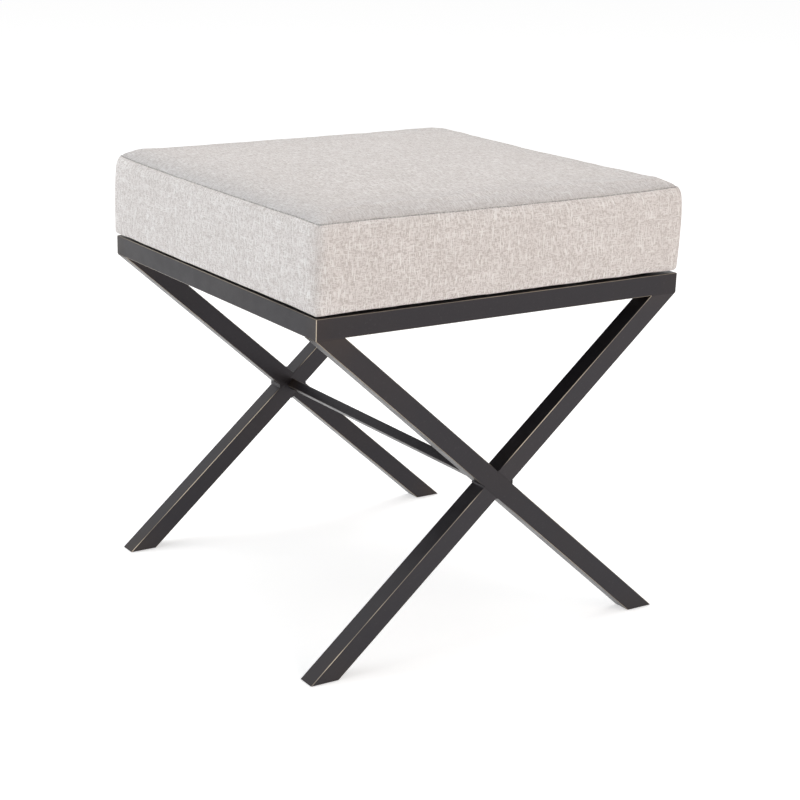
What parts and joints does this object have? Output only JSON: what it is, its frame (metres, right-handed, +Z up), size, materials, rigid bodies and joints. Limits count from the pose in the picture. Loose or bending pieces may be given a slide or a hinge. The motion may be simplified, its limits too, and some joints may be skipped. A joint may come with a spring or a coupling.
{
  "type": "x frame stool",
  "caption": "Square upholstered stool: a box cushion on a welded square-tube frame with crossed legs front and back, joined by a slim stretcher.",
  "frame": {"origin": "on the floor, under the middle of the stool", "axes": "+Z up; the crossed legs stand in the planes facing -Y (front) and +Y (back); +X to the right seen from the front"},
  "size_m": [0.4166, 0.4166, 0.4442],
  "materials": {
    "frame_steel": "satin",
    "plug_plastic": "matte",
    "zinc_steel": "zinc plated",
    "dust_cloth": "matte",
    "plywood": "raw",
    "foam": "matte",
    "wadding": "matte",
    "linen_cloth": "woven"
  },
  "bodies": {
    "root": {"front_rail": "frame_steel", "right_rail": "frame_steel", "back_rail": "frame_steel", "left_rail": "frame_steel", "front_through_leg": "frame_steel", "front_upper_half_leg": "frame_steel", "front_lower_half_leg": "frame_steel", "back_through_leg": "frame_steel", "back_upper_half_leg": "frame_steel", "back_lower_half_leg": "frame_steel", "stretcher": "frame_steel", "front_left_corner_tab": "frame_steel", "front_right_corner_tab": "frame_steel", "back_left_corner_tab": "frame_steel", "back_right_corner_tab": "frame_steel", "front_through_foot_plug": "plug_plastic", "front_half_foot_plug": "plug_plastic", "back_through_foot_plug": "plug_plastic", "back_half_foot_plug": "plug_plastic", "seat_screws": "zinc_steel", "seat_washers": "zinc_steel", "tee_nuts": "zinc_steel", "dust_cover": "dust_cloth", "seat_board": "plywood", "foam_core": "foam", "wadding": "wadding", "cover_top_panel": "linen_cloth", "cover_side_band": "linen_cloth"}
  },
  "joints": []
}
